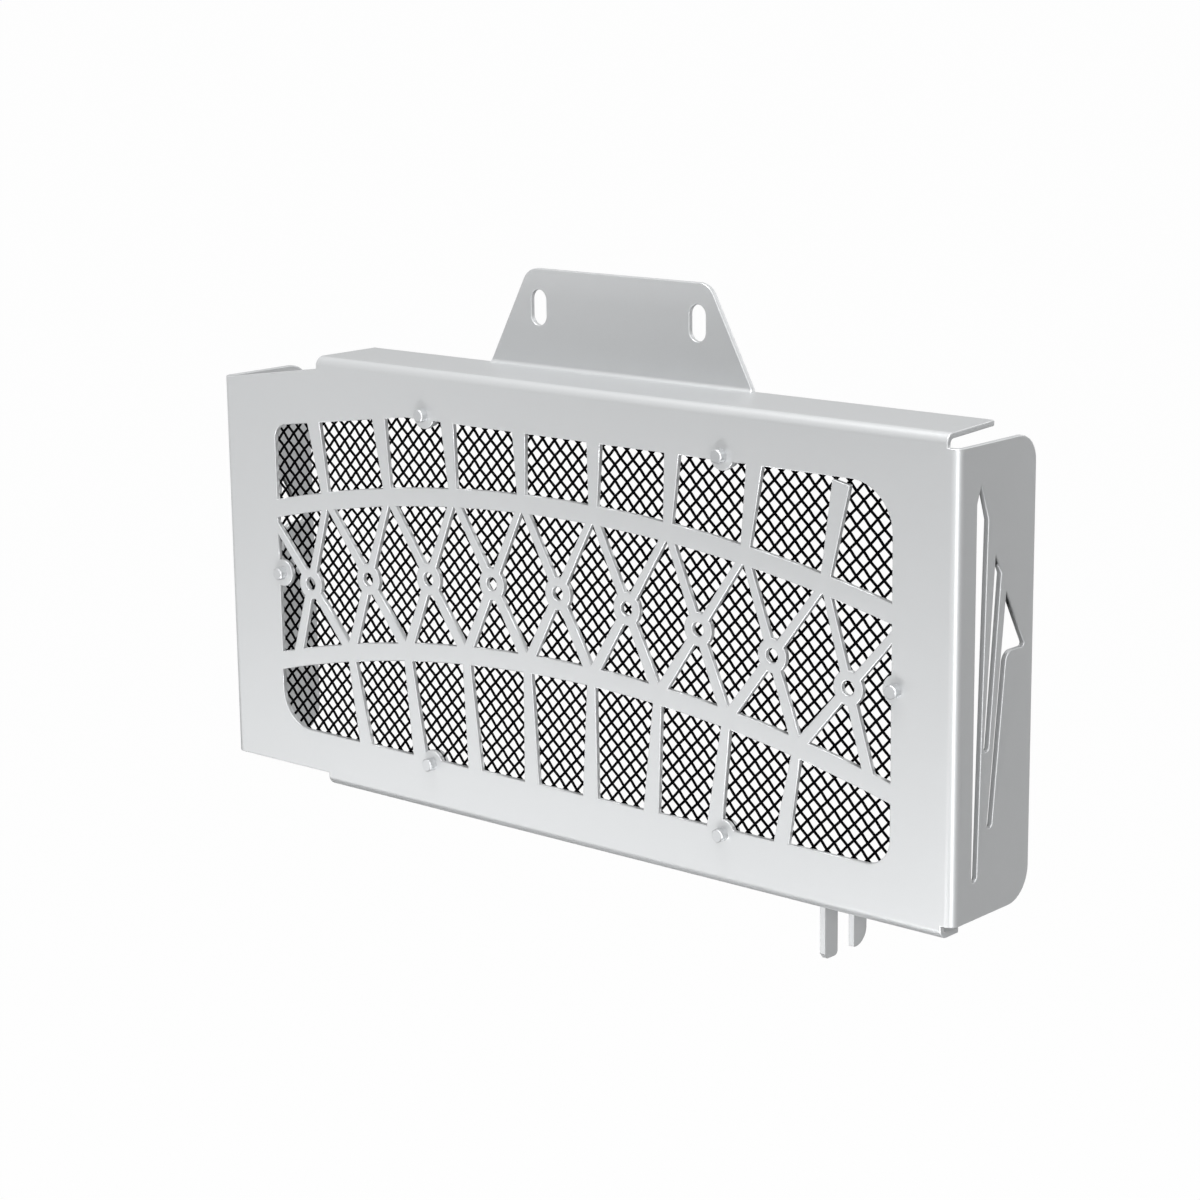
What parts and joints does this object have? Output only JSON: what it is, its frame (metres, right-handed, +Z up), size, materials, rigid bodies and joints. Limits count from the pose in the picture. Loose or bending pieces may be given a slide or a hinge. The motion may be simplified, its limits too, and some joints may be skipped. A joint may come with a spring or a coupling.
{
  "type": "motorcycle radiator guard",
  "caption": "Folded sheet-metal radiator guard with a fretwork front, a diamond wire screen behind it, a slotted hanging tab and short prongs under the lower lip.",
  "frame": {"origin": "on the rear face of the hanging tab, midway between its two slots", "axes": "+X to the guard's right as seen from the front, along its width; +Y to the rear, out of the tab's rear face; +Z up"},
  "size_m": [0.33, 0.045, 0.2123],
  "materials": {
    "satin_steel": "satin",
    "black_wire": "satin black coating",
    "bright_steel": "turned, bright"
  },
  "bodies": {
    "root": {"guard_panel": "satin_steel", "mesh_screen": "black_wire", "prong_long": "satin_steel", "prong_short": "satin_steel", "screen_pin_high_left": "bright_steel", "pin_washer_high_left": "bright_steel", "screen_pin_high_right": "bright_steel", "pin_washer_high_right": "bright_steel", "screen_pin_mid_left": "bright_steel", "pin_washer_mid_left": "bright_steel", "screen_pin_mid_right": "bright_steel", "pin_washer_mid_right": "bright_steel", "screen_pin_low_left": "bright_steel", "pin_washer_low_left": "bright_steel", "screen_pin_low_right": "bright_steel", "pin_washer_low_right": "bright_steel"}
  },
  "joints": []
}
